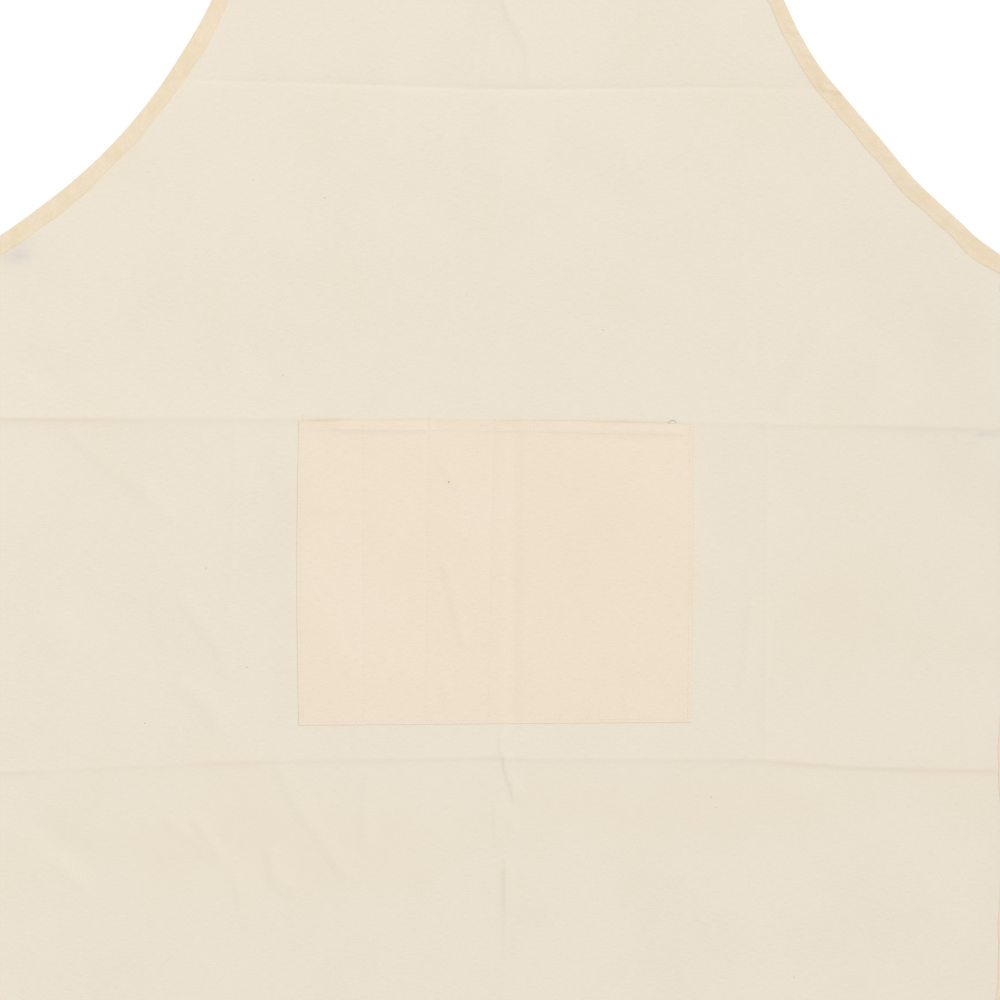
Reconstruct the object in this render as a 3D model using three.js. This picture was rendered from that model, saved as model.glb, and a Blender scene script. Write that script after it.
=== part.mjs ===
// An artist's bib apron of unbleached cotton, lying face up and flat.
// Millimetres: +X to the right as it is seen from above, +Y towards the bib, +Z up.
// The origin is on the surface below, under the middle of the apron and its neck strap.
import * as THREE from "three";
import { mergeVertices } from "three/addons/utils/BufferGeometryUtils.js";

// Cloth and tape
const WALL = 1; // one layer of cloth
const GAP = 0.3; // between two layers that lie on each other
const TAPE_WIDTH = 10; // the folded binding tape, edge to lip
const TAPE_TOP = 3 * WALL + 2 * GAP; // tape, panel and tape again
const TAPE_BEND = 0.9; // rounding outside the tape's fold
const TAPE_CREASE = 0.3; // and inside it
const STRAP_THICKNESS = 2 * WALL + GAP; // tape folded and sewn shut
const PANEL_EDGE_Z = WALL + GAP; // the panel's edge lies on the tape's lower leg
const PANEL_INSET = WALL + GAP; // from the finished edge to the panel's own edge

// Whole apron
const TOTAL_LENGTH = 1114; // hem to the top of the neck strap
const APRON_LENGTH = 884; // hem to the top edge of the bib
const HALF_WIDTH = 335;
const BIB_HALF_WIDTH = 132; // at its top edge
const CORNER_RADIUS = 85; // bottom corners
const CORNER_STEPS = 5;
const HEM_Y = -TOTAL_LENGTH / 2;
const BIB_Y = HEM_Y + APRON_LENGTH;
const STRAP_TOP_Y = TOTAL_LENGTH / 2;

// Armholes: where the finished edge stands on each side, from the bib's top edge down
const ARMHOLE = [
  { y: BIB_Y, left: -BIB_HALF_WIDTH, right: BIB_HALF_WIDTH },
  { y: 240, left: -152, right: 154.5 },
  { y: 161, left: -186.1, right: 186 },
  { y: 122, left: -208.4, right: 206.6 },
  { y: 96, left: -227, right: 227.3 },
  { y: 70, left: -249, right: 249.5 },
  { y: 44, left: -277, right: 271.5 },
  { y: 18, left: -310.2, right: 299.6 },
];
const WAIST_CORNER_Y = { left: 0.7, right: -9.8 }; // where each armhole meets the side edge
const CURVE_POINTS = 160;

// Lines across the cloth, from the hem up: height at the middle, slope, and how far the ends bow up
const LINES = [
  { name: "hem", y: HEM_Y, slope: 0, bow: 0 },
  { name: "skirt fold", y: -332, slope: 0, bow: -9 },
  { name: "pocket fold", y: -114, slope: -0.012, bow: 0 },
  {
    name: "waist",
    y: (WAIST_CORNER_Y.left + WAIST_CORNER_Y.right) / 2,
    slope: (WAIST_CORNER_Y.right - WAIST_CORNER_Y.left) / (2 * HALF_WIDTH),
    bow: 0,
  },
  { name: "bib fold", y: 106.6, slope: -0.019, bow: 0 },
  { name: "bib top", y: BIB_Y, slope: 0, bow: 0 },
];
const levelOf = (name) => LINES.find((line) => line.name === name).y;

// Packing folds: each stands up by crest on its line and by shoulder beside it, then runs out flat.
// One with no crest was pressed the other way, and is a valley between two rises.
const FOLD_SHOULDER = 8; // line to shoulder
const FOLD_REACH = 30; // line to flat cloth
const BESIDE_POCKET = 134; // the fold along the pocket's mouth has run out here
const ACROSS_FOLDS = [
  { at: levelOf("skirt fold"), crest: 2.4, shoulder: 0.9, from: -HALF_WIDTH, to: HALF_WIDTH },
  { at: levelOf("pocket fold"), crest: 2.2, shoulder: 0.8, from: -HALF_WIDTH, to: -142 },
  { at: levelOf("pocket fold"), crest: 1.8, shoulder: 0.7, from: 146, to: HALF_WIDTH },
  { at: levelOf("bib fold"), crest: 0, shoulder: 1.2, from: -HALF_WIDTH, to: HALF_WIDTH },
];
const DOWN_FOLDS = [
  { name: "centre fold, skirt", at: 5, crest: 2, shoulder: 0.8, from: -500, to: -114 },
  { name: "centre fold, bib", at: 5, crest: 1.6, shoulder: 0.6, from: 114, to: 250 },
  { name: "right quarter fold", at: 176, crest: 1.6, shoulder: 0.6, from: -332, to: -114 },
  { name: "left quarter fold", at: -172, crest: 1, shoulder: 0.4, from: -230, to: -114 },
];

// The panel is lifted by its binding along every edge and settles on the surface further in
const EDGE_STRIP = 32; // lifted all across
const EDGE_SETTLE = 80; // flat on the surface from here in
const ROW_MOST = 34; // between two rows of the panel's facets
const COLUMN_MOST = 60; // between two columns

// Pocket: its mouth lies along the pocket fold
const POCKET_BOTTOM = -309;
const POCKET_BOTTOM_RISE = 0.009; // its bottom edge climbs to the right
const POCKET_HEM = 8;
const POCKET_HEM_EXTRA = 0.6; // the hem is the cloth turned twice
const POCKET_HEM_STEP = 0.6; // height over which the cloth thickens to the hem
const POCKET_ROWS = 8; // below the hem
const POCKET_BRIDGE = [-6, -3, 0, 3, 6]; // it bridges a fold below it over this width
const SEAMS = [
  { name: "left side", top: -129.4, bottom: -129.4 },
  { name: "first divider", top: -87.8, bottom: -87.5 },
  { name: "second divider", top: -44.9, bottom: -47.1 },
  { name: "third divider", top: -2, bottom: -6.5 },
  { name: "right side", top: 126.8, bottom: 125.5 },
];
const COMPARTMENTS = [
  { name: "first brush slot", puff: 2.2, columns: 4 },
  { name: "second brush slot", puff: 2.2, columns: 4 },
  { name: "third brush slot", puff: 2.2, columns: 4 },
  { name: "wide compartment", puff: 5.2, columns: 14 },
]; // puff is how far each stands off the panel at the middle of its mouth

// Neck strap and ties: the ties' routes lie on the surface beside the skirt
const STRAP_STEPS = 30;
const TIE_STEPS = 34;
const TIE_ROUTES = {
  left: [
    [-335.3, -5.3], [-352, -16.5], [-368, -29], [-382, -47], [-391, -71], [-394, -101], [-391, -138],
    [-385, -177], [-381, -217], [-381, -257], [-386, -297], [-393, -337], [-399, -377], [-401, -417],
    [-398, -457], [-391, -497], [-385, -537], [-384, -577], [-389, -617],
  ],
  right: [
    [335.3, -16], [352, -27.5], [369, -41], [384, -59], [393, -83], [395, -113], [390, -149],
    [384, -187], [381, -227], [384, -267], [392, -307], [400, -347], [403, -387], [400, -427],
    [392, -467], [386, -507], [386, -547], [392, -587], [400, -626],
  ],
};

const CALICO = { color: 0xebe2d1, roughness: 0.95, metalness: 0 };
const POCKET_CALICO = { color: 0xefe0cb, roughness: 0.95, metalness: 0 };
const TAPE_COTTON = { color: 0xedddc0, roughness: 0.9, metalness: 0 };

const LEFT = new THREE.Vector2(-1, 0);
const RIGHT = new THREE.Vector2(1, 0);
const UP = new THREE.Vector2(0, 1);
const DOWN = new THREE.Vector2(0, -1);
const lerp = THREE.MathUtils.lerp;

// Height of the line that crosses the middle at a level
function lineAt(level, x) {
  const above = Math.max(LINES.findIndex((line) => line.y >= level), 1);
  const next = LINES[above];
  const last = LINES[above - 1];
  const share = (level - last.y) / (next.y - last.y);
  const slope = lerp(last.slope, next.slope, share);
  const bow = lerp(last.bow, next.bow, share);
  return level + slope * x + bow * (x / HALF_WIDTH) ** 2;
}

// One armhole's edge as closely spaced points, from the bib down to the waist corner
function armholeCurve(side, cornerX) {
  const points = ARMHOLE.map((row) => new THREE.Vector2(row[side], row.y));
  points.push(new THREE.Vector2(cornerX, WAIST_CORNER_Y[side]));
  return new THREE.SplineCurve(points).getPoints(CURVE_POINTS);
}
const armholes = {
  left: armholeCurve("left", -HALF_WIDTH),
  right: armholeCurve("right", HALF_WIDTH),
};

// The finished edge's X on one side at a height
function edgeX(side, y) {
  const sign = side === "left" ? -1 : 1;
  const cornerY = HEM_Y + CORNER_RADIUS;
  if (y < cornerY) {
    const reach = Math.sqrt(CORNER_RADIUS ** 2 - (cornerY - y) ** 2);
    return sign * (HALF_WIDTH - CORNER_RADIUS + reach);
  }
  if (y <= WAIST_CORNER_Y[side]) return sign * HALF_WIDTH;
  const curve = armholes[side];
  const below = Math.max(curve.findIndex((point) => point.y <= y), 1);
  const share = (y - curve[below].y) / (curve[below - 1].y - curve[below].y);
  return lerp(curve[below].x, curve[below - 1].x, share);
}

// Where the line of a level meets the finished edge: the two are brought together step by step
function edgePoint(side, level) {
  let x = edgeX(side, level);
  for (let step = 0; step < 8; step += 1) x = edgeX(side, lineAt(level, x));
  return new THREE.Vector2(x, lineAt(level, x));
}

// The values in order, with even ones added wherever two stand further apart than most
function filled(values, most) {
  const sorted = [...new Set(values)].sort((a, b) => a - b);
  return sorted.flatMap((value, i) => {
    if (i === sorted.length - 1) return [value];
    const parts = Math.ceil((sorted[i + 1] - value) / most);
    return Array.from({ length: parts }, (_, k) => lerp(value, sorted[i + 1], k / parts));
  });
}

// The panel's rows (levels) and columns (stations) run along the folds
const aroundFold = ({ at }) => [
  at - FOLD_REACH,
  at - FOLD_SHOULDER,
  at,
  at + FOLD_SHOULDER,
  at + FOLD_REACH,
];
const cornerLevels = Array.from({ length: CORNER_STEPS + 1 }, (_, k) => {
  const turn = (k / CORNER_STEPS) * (Math.PI / 2);
  return HEM_Y + CORNER_RADIUS * (1 - Math.cos(turn));
});
const bibLevels = [levelOf("waist"), BIB_Y - EDGE_SETTLE, BIB_Y - EDGE_STRIP, BIB_Y];
const levels = filled([...cornerLevels, ...ACROSS_FOLDS.flatMap(aroundFold), ...bibLevels], ROW_MOST);
const sideStations = [HALF_WIDTH, HALF_WIDTH - EDGE_STRIP, HALF_WIDTH - EDGE_SETTLE, BESIDE_POCKET];
const stations = filled(
  [...sideStations, ...sideStations.map((x) => -x), ...DOWN_FOLDS.flatMap(aroundFold)],
  COLUMN_MOST,
);
const lastColumn = stations.length - 1;
const lastRow = levels.length - 1;
const waistRow = levels.indexOf(levelOf("waist"));

// A fold's rise at a distance from its line
function foldRise(fold, distance) {
  if (distance <= FOLD_SHOULDER) return lerp(fold.crest, fold.shoulder, distance / FOLD_SHOULDER);
  const share = (distance - FOLD_SHOULDER) / (FOLD_REACH - FOLD_SHOULDER);
  return fold.shoulder * Math.max(1 - share, 0);
}

// Height of the panel's underside above the surface
function panelRise(station, level) {
  const fromEdge = Math.min(HALF_WIDTH - Math.abs(station), level - HEM_Y, BIB_Y - level);
  if (fromEdge <= EDGE_STRIP) return PANEL_EDGE_Z;
  const within = (place, fold) => place >= fold.from && place <= fold.to;
  const across = ACROSS_FOLDS.filter((fold) => within(station, fold));
  const down = DOWN_FOLDS.filter((fold) => within(level, fold));
  return Math.max(
    0,
    ...across.map((fold) => foldRise(fold, Math.abs(level - fold.at))),
    ...down.map((fold) => foldRise(fold, Math.abs(station - fold.at))),
  );
}

// A point of the panel's grid, on the finished edge where the grid ends
function gridPoint(column, row) {
  const left = edgePoint("left", levels[row]).x;
  const right = edgePoint("right", levels[row]).x;
  const fromLeft = stations[column] + HALF_WIDTH;
  const fromRight = HALF_WIDTH - stations[column];
  const share = (fromLeft - EDGE_SETTLE) / (2 * (HALF_WIDTH - EDGE_SETTLE));
  let x = lerp(left + EDGE_SETTLE, right - EDGE_SETTLE, share);
  if (fromLeft < EDGE_SETTLE) x = left + fromLeft;
  if (fromRight < EDGE_SETTLE) x = right - fromRight;
  return new THREE.Vector2(x, lineAt(levels[row], x));
}

// The unit vector to the right of the way from one point to the next
function rightOf(from, to) {
  const way = to.clone().sub(from).normalize();
  return new THREE.Vector2(way.y, -way.x);
}

// Vectors to the right of a path, one at each point, that keep a strip's width round its bends.
// A cut is the direction in which an end is trimmed.
function acrossPath(points, startCut, endCut) {
  const trimmed = (cut, square) => (cut ? cut.clone().divideScalar(cut.dot(square)) : square);
  return points.map((point, i) => {
    if (i === 0) return trimmed(startCut, rightOf(point, points[1]));
    const before = rightOf(points[i - 1], point);
    if (i === points.length - 1) return trimmed(endCut, before);
    const after = rightOf(point, points[i + 1]);
    return before.clone().add(after).divideScalar(1 + before.dot(after));
  });
}

// A piece of cloth: a box of columns and rows whose corners are moved to where place puts them
function cloth(name, columns, rows, look, place) {
  const box = new THREE.BoxGeometry(1, 1, 1, columns, rows, 1);
  box.deleteAttribute("normal");
  box.deleteAttribute("uv");
  const corners = box.getAttribute("position");
  for (let i = 0; i < corners.count; i += 1) {
    const column = Math.round((corners.getX(i) + 0.5) * columns);
    const row = Math.round((corners.getY(i) + 0.5) * rows);
    const placed = place(column, row, corners.getZ(i) > 0);
    corners.setXYZ(i, placed.x, placed.y, placed.z);
  }
  const geometry = mergeVertices(box);
  geometry.computeVertexNormals();
  const mesh = new THREE.Mesh(geometry, new THREE.MeshStandardMaterial(look));
  mesh.name = name;
  return mesh;
}

// The panel stops short of the finished edge all round, by the thickness of its binding
function panelInsets() {
  const leftSide = levels.map((_, row) => [0, row]);
  const topSide = stations.map((_, column) => [column, lastRow]);
  const rightSide = levels.map((_, row) => [lastColumn, lastRow - row]);
  const bottomSide = stations.map((_, column) => [lastColumn - column, 0]);
  const walk = [leftSide, topSide, rightSide, bottomSide].flatMap((side) => side.slice(0, -1));
  const edge = walk.map(([column, row]) => gridPoint(column, row));
  const inward = acrossPath([edge.at(-1), ...edge, edge[0]]).slice(1, -1);
  return new Map(walk.map((step, i) => [step.join(), inward[i].multiplyScalar(PANEL_INSET)]));
}

function apronPanel() {
  const insets = panelInsets();
  return cloth("apron_panel", lastColumn, lastRow, CALICO, (column, row, upper) => {
    const point = gridPoint(column, row);
    const inset = insets.get([column, row].join());
    if (inset) point.add(inset);
    const underside = panelRise(stations[column], levels[row]);
    return new THREE.Vector3(point.x, point.y, underside + (upper ? WALL : 0));
  });
}

// Pocket: sewn down along its seams, each compartment swelling between them towards the mouth
function pocket() {
  const columns = COMPARTMENTS.flatMap((part, index) =>
    Array.from({ length: part.columns }, (_, k) => ({ ...part, index, share: k / part.columns })),
  );
  columns.push({ ...COMPARTMENTS.at(-1), index: COMPARTMENTS.length - 1, share: 1 });
  const mouth = levelOf("pocket fold");
  const height = mouth - POCKET_BOTTOM;
  const hemStart = 1 - POCKET_HEM / height;
  const plainTop = hemStart - POCKET_HEM_STEP / height;
  const rows = Array.from({ length: POCKET_ROWS + 1 }, (_, k) => (k / POCKET_ROWS) * plainTop);
  rows.push(hemStart, 1);

  return cloth("pocket", columns.length - 1, rows.length - 1, POCKET_CALICO, (column, row, upper) => {
    const { index, share, puff } = columns[column];
    const up = rows[row];
    const seamX = (seam) => lerp(seam.bottom, seam.top, up);
    const x = lerp(seamX(SEAMS[index]), seamX(SEAMS[index + 1]), share);
    const level = lerp(POCKET_BOTTOM + POCKET_BOTTOM_RISE * x, mouth, up);
    const below = Math.max(...POCKET_BRIDGE.map((offset) => panelRise(x + offset, level)));
    const swell = puff * Math.sin(Math.PI * share) * Math.sin((Math.PI / 2) * up);
    const thickness = WALL + (up >= hemStart ? POCKET_HEM_EXTRA : 0);
    const underside = below + WALL + GAP + swell;
    return new THREE.Vector3(x, lineAt(level, x), underside + (upper ? thickness : 0));
  });
}

// Tape folded over an edge: its section runs from the lower lip round the fold to the upper lip
const TAPE_SECTION = [
  { outer: [TAPE_WIDTH, 0], inner: [TAPE_WIDTH, WALL] },
  { outer: [TAPE_BEND, 0], inner: [WALL + TAPE_CREASE, WALL] },
  { outer: [0, TAPE_BEND], inner: [WALL, WALL + TAPE_CREASE] },
  { outer: [0, TAPE_TOP - TAPE_BEND], inner: [WALL, TAPE_TOP - WALL - TAPE_CREASE] },
  { outer: [TAPE_BEND, TAPE_TOP], inner: [WALL + TAPE_CREASE, TAPE_TOP - WALL] },
  { outer: [TAPE_WIDTH, TAPE_TOP], inner: [TAPE_WIDTH, TAPE_TOP - WALL] },
];
function binding(name, edge, startCut, endCut) {
  const across = acrossPath(edge, startCut, endCut);
  return cloth(name, TAPE_SECTION.length - 1, edge.length - 1, TAPE_COTTON, (column, row, outside) => {
    const [inset, z] = TAPE_SECTION[column][outside ? "outer" : "inner"];
    const point = edge[row].clone().addScaledVector(across[row], inset);
    return new THREE.Vector3(point.x, point.y, z);
  });
}

// Tape folded shut, lying on the surface along a line
function ribbon(name, line, startCut, endCut) {
  const across = acrossPath(line, startCut, endCut);
  return cloth(name, 1, line.length - 1, TAPE_COTTON, (column, row, upper) => {
    const point = line[row].clone().addScaledVector(across[row], (column - 0.5) * TAPE_WIDTH);
    return new THREE.Vector3(point.x, point.y, upper ? STRAP_THICKNESS : 0);
  });
}

// The finished edge between two rows, clockwise, with the cloth on its right
function edgeRows(side, from, to) {
  const rows = levels.slice(from, to + 1).map((level) => edgePoint(side, level));
  return side === "left" ? rows : rows.reverse();
}
const leftArmhole = edgeRows("left", waistRow, lastRow);
const rightArmhole = edgeRows("right", waistRow, lastRow);

// Where the next tape starts beside the end of an armhole tape: a point on the cut line, just past the
// armhole tape's lip, and the way that lip runs
function besideLip(from, to, end, cut) {
  const square = rightOf(from, to);
  const reach = (TAPE_WIDTH + GAP) / cut.dot(square);
  return {
    point: end.clone().addScaledVector(cut, reach),
    way: to.clone().sub(from).normalize(),
  };
}

function skirtBinding() {
  const start = besideLip(rightArmhole.at(-2), rightArmhole.at(-1), rightArmhole.at(-1), DOWN);
  const end = besideLip(leftArmhole[0], leftArmhole[1], leftArmhole[0], DOWN);
  const clearOf = (tape) => (point) => point.y < tape.point.y - TAPE_WIDTH;
  const hem = stations.map((_, column) => gridPoint(lastColumn - column, 0)).slice(1, -1);
  const edge = [
    start.point,
    ...edgeRows("right", 0, waistRow).filter(clearOf(start)),
    ...hem,
    ...edgeRows("left", 0, waistRow).filter(clearOf(end)),
    end.point,
  ];
  return binding("skirt_binding", edge, start.way.negate(), end.way);
}

function bibBinding() {
  const start = besideLip(leftArmhole.at(-2), leftArmhole.at(-1), leftArmhole.at(-1), RIGHT);
  const end = besideLip(rightArmhole[0], rightArmhole[1], rightArmhole[0], LEFT);
  return binding("bib_binding", [start.point, end.point], start.way.negate(), end.way);
}

// The neck strap stands on the ends of the armhole tapes and takes half an ellipse round the neck
function neckStrap() {
  const reach = BIB_HALF_WIDTH - TAPE_WIDTH / 2;
  const start = BIB_Y + GAP;
  const rise = STRAP_TOP_Y - TAPE_WIDTH / 2 - start;
  const line = Array.from({ length: STRAP_STEPS + 1 }, (_, i) => {
    const turn = Math.PI * (1 - i / STRAP_STEPS);
    return new THREE.Vector2(reach * Math.cos(turn), start + rise * Math.sin(turn));
  });
  return ribbon("neck_strap", line, RIGHT, LEFT);
}

function waistTie(name, route, startCut) {
  const curve = new THREE.SplineCurve(route.map(([x, y]) => new THREE.Vector2(x, y)));
  return ribbon(name, curve.getSpacedPoints(TIE_STEPS), startCut);
}

const apron = new THREE.Group();
apron.add(
  apronPanel(),
  pocket(),
  binding("armhole_binding_left", leftArmhole, DOWN, RIGHT),
  binding("armhole_binding_right", rightArmhole, LEFT, DOWN),
  bibBinding(),
  skirtBinding(),
  neckStrap(),
  waistTie("waist_tie_left", TIE_ROUTES.left, UP),
  waistTie("waist_tie_right", TIE_ROUTES.right, DOWN),
);

export default apron;
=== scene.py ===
"""An artist's bib apron of unbleached calico, laid flat and seen from straight above."""

import math
from collections import namedtuple

import bpy
import numpy as np
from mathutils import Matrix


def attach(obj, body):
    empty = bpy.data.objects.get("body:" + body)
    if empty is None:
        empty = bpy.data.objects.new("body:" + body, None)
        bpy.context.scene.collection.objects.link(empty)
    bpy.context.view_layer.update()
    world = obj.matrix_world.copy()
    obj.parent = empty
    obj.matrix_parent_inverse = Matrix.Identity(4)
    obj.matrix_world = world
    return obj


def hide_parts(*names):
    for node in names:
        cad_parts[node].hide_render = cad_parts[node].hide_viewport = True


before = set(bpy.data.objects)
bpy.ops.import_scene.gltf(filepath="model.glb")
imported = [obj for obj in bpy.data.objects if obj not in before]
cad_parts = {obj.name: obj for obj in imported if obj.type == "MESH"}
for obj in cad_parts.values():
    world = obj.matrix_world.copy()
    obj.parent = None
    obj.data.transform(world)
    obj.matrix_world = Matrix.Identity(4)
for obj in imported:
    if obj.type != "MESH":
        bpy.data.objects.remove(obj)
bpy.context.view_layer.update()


# Viewpoint
# The lens stands straight above the pocket, so far up that nothing leans, and takes in 650 mm of cloth
# each way. Sizes of the apron are in millimetres, and MM makes them metres.
MM = 0.001
VIEW_CENTRE = (1.3, -163.8)
VIEW_WIDTH = 650
LENS = 85
SENSOR = 36
CLOTH_LEVEL = 1.5  # above the table, where the view is that wide

camera_height = CLOTH_LEVEL + VIEW_WIDTH * LENS / SENSOR
bpy.ops.object.camera_add(location=[part * MM for part in (*VIEW_CENTRE, camera_height)], rotation=(0, 0, 0))
camera = bpy.context.object
camera.data.lens = LENS
camera.data.sensor_width = SENSOR
bpy.context.scene.camera = camera


# Apron panel
# Bib and skirt are cut from one piece of unbleached calico, a plain-woven cotton of about 150 g a square
# metre. It lies flat but keeps the creases of its packing folds, and its raw edge is hidden in the tape.
HEM_Y = -557
BIB_Y = 327
HALF_WIDTH = 335
BIB_HALF_WIDTH = 132
CORNER_RADIUS = 85
LEFT, RIGHT = -1, 1
ARMHOLE_Y = [BIB_Y, 240, 161, 122, 96, 70, 44, 18, 5.3]
ARMHOLE_X = {
    LEFT: [-BIB_HALF_WIDTH, -152, -186.1, -208.4, -226.4, -248.5, -275.8, -309.4, -328.2],
    RIGHT: [BIB_HALF_WIDTH, 154.5, 186, 206.6, 227.3, 249.5, 271.5, 299.4, 313.2],
}
WAIST_CORNER_Y = {LEFT: 0.7, RIGHT: -9.8}
CURVE_STEPS = 240
# The right side isn't quite straight: how far out it lies at these heights
RIGHT_SIDE_Y = [-440, -400, -372, -345, -318, -275, -50, -12]
RIGHT_SIDE_OUT = [0, 2.2, 2.2, 0, 0, 4, 4, 0]

CALICO_THICKNESS = 0.4
PANEL_INSET = 2  # from the finished edge to the cloth's own edge
REST_LEVEL = 1.6  # middle of the cloth above the table
LOWEST_LEVEL = 0.75
EDGE_LIFT = 0.5  # the stiffer bound edge stands up by this
LIFT_REACH = 20

# Each row of a crease is a knot along it: where it runs, how high it stands (below zero is a valley), how
# much of that falls away at once on its upper or right side, and on its lower or left side, and how far
# the rest of its upper or right side reaches
ACROSS_CREASES = {  # knots by X, running at Y
    "skirt": [
        (-324, -340.6, 0.6, 0, 0.5, 9),
        (-303, -340, 0.55, 0, 0.42, 9),
        (-292, -339.4, 0.3, 0, 0.12, 9),
        (-205, -335.3, 0.3, 0, 0.14, 12),
        (-192, -334.7, 0.45, 0, 0.38, 14),
        (-150, -333.4, 0.45, 0, 0.36, 14),
        (-130, -333, 0.4, 0, 0.25, 20),
        (-60, -332, 0.5, 0, 0.45, 30),
        (1, -330.9, 0.55, 0, 0.43, 24),
        (21, -332.2, 0.68, 0, 0.26, 16),
        (140, -332.1, 0.65, 0, 0.26, 18),
        (170, -332.2, 0.9, 0, 0.4, 20),
        (229, -337.3, 0.8, 0, 0.62, 80),
        (326, -339.3, 0.9, 0, 0.46, 70),
    ],
    "pocket mouth": [
        (-324, -110.5, 1.3, 0, 0.5, 11),
        (-272, -110.7, 1.3, 0, 0.55, 12),
        (-226, -110.8, 0.75, 0, 0.2, 12),
        (-129, -111.5, 0.6, 0, 0.16, 10),
        (-100, -112, 0.21, 0, 0.07, 8),
        (100, -113.8, 0.21, 0, 0.07, 8),
        (128, -114.1, 0.36, 0, 0.17, 8),
        (225, -115.1, 0.5, 0, 0.26, 9),
        (240, -115.5, 0.75, 0, 0.5, 12),
        (326, -117.6, 0.6, 0, 0.45, 14),
    ],
    "bib": [
        (-212, 109.6, -0.35, -0.14, -0.14, 8),
        (-109, 107, -0.59, -0.32, -0.32, 8),
        (1, 103.4, -0.88, -0.48, -0.53, 8),
        (27, 103.2, -0.86, -0.47, -0.53, 8),
        (125, 104.6, -0.64, -0.36, -0.39, 8),
        (206, 103.7, -0.35, -0.17, -0.18, 8),
        (222, 103, -0.31, -0.14, -0.14, 8),
    ],
}
DOWN_CREASES = {  # knots by Y, running at X
    "middle of the skirt": [
        (-482, 3.8, 0, 0, 0, 8),
        (-452, 4.2, 0.12, 0, 0.1, 20),
        (-438, 4.6, 0.28, 0, 0.26, 20),
        (-425, 4.6, 0.66, 0, 0.66, 20),
        (-405, 4.6, 0.66, 0, 0.66, 20),
        (-394, 4.6, 0, 0, 0, 8),
    ],
    "middle below the tuck": [
        (-392, -2, 0, 0, 0, 8),
        (-384, -2, 0.32, 0, 0.28, 20),
        (-366, -2, 0.37, 0, 0.3, 20),
        (-358, -2.2, 0, 0, 0, 8),
    ],
    "middle of the bib": [
        (104, 20.4, 0, 0, 0, 8),
        (110, 20.2, 0.31, 0.1, 0.2, 8),
        (128, 18.8, 0.4, 0.05, 0.28, 9),
        (140, 12.6, 0.55, 0, 0.4, 10),
        (149, 7.2, 0.7, 0, 0.55, 10),
        (161, 3.2, 0.7, 0, 0.5, 10),
        (200, 1, 0.5, 0, 0.35, 10),
        (250, 1, 0, 0, 0, 8),
    ],
    "right quarter": [
        (-332, 174, 0, 0, 0, 8),
        (-320, 173.6, 0.31, 0.17, 0, 8),
        (-200, 175, 0.31, 0.17, 0, 8),
        (-115, 175.5, 0.25, 0.13, 0, 8),
        (-108, 175.5, 0, 0, 0, 8),
    ],
    "left quarter": [
        (-230, -173, 0, 0, 0, 8),
        (-203, -172.9, 0.17, 0.06, 0, 8),
        (-118, -170.3, 0.17, 0.06, 0, 8),
        (-112, -170, 0, 0, 0, 8),
    ],
}
CREASE_REACH = 8  # of the rest of its lower or left side
STEP_REACH = 1.8  # of what falls away at once

# Small wrinkles: the points that each runs through, its height (below zero is a valley), and its half width
# to the right and to the left of the way along it
PANEL_WRINKLES = [
    ([(-286, -117), (-231, -159), (-207, -183)], 0.3, 2.2, 6),
    ([(-209, -225), (-183, -261), (-176, -283)], 0.4, 2.2, 7),
    ([(-217, -277), (-189, -298), (-177, -320)], 0.5, 4, 8),
    ([(-156, -138), (-175, -174)], 0.3, 3, 5),
    ([(-131, -122), (-131, -312)], 0.5, 13, 20),
    ([(-328, -61), (-266, -99)], -0.55, 9, 9),
    ([(-325, -225), (-255, -275)], 0.42, 14, 14),
    ([(-176, -42), (-139, -98)], -0.45, 7, 8),
    ([(-152, -39), (-94, -53)], 0.25, 2.4, 5),
    ([(70, 93), (97, 29)], 0.2, 2.5, 5),
    ([(212, -41), (203, -64), (180, -109)], 0.55, 2.6, 8),
    ([(305, -45), (255, -100)], -0.56, 14, 14),
    ([(164, -225), (161, -263), (157, -291)], 0.4, 2.2, 6),
    ([(-292, -397), (-266, -420)], 0.3, 2.2, 6),
    ([(-318, -358), (-247, -418)], -0.75, 11, 12),
    ([(-221, -369), (-202, -383), (-175, -405)], 0.24, 2.2, 6),
    ([(-201, -368), (-190, -382), (-179, -400)], 0.42, 2, 5),
    ([(-150, -385), (-146, -417)], 0.5, 2.2, 7),
    ([(-150, -406), (-126, -427)], 0.35, 4, 8),
    ([(-145, -333), (-133, -361), (-116, -385), (-95, -417)], 0.34, 2.4, 7),
    ([(-84, -336), (-88, -361), (-86, -395)], 0.28, 2.3, 6),
    ([(-172, -401), (-167, -430)], 0.2, 2.3, 6),
    ([(1, -310), (2, -334)], 0.3, 1.8, 5),
    # a tuck below the pocket
    ([(3.2, -328), (4.3, -337.7), (6.5, -345.8), (9.1, -351.7), (10.6, -361)], 0.5, 0.9, 6),
    ([(16, -368), (3, -381)], 0.3, 2.2, 5),
    ([(11, -104), (9, -318)], -0.46, 4.5, 4.5),
    ([(230, -345), (130, -380)], 0.42, 12, 12),
]
WRINKLE_FADE = 4  # half widths over which a wrinkle runs out at each end
# Slow swells of cloth that isn't ironed: wavelength and direction of each, its start and its height
PANEL_SWELLS = [(118, 0, 0, 0.12), (141, 95, 1.1, 0.12), (84, 150, 2.3, 0.04), (58, 50, 4, 0.03)]

# The mesh is finest along creases and fine where there are small wrinkles: from, to and spacing
CREASE_SPACING = 0.9
CLOTH_SPACING = 7.5
SPACING_GROWTH = 0.17
WRINKLED_COLUMNS = [(-292, -84, 2.7), (-5, 21, 0.8), (155, 165, 2)]
WRINKLED_ROWS = [(-428, -328, 2.7), (-320, -118, 3.3), (108, 160, 4)]
FINE_STEPS = 4000
DRIFT_REACH = 60  # rows of the mesh swing to follow a crease within this distance
SETTLING_TURNS = 3
SMOOTH_ANGLE = 55


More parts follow.
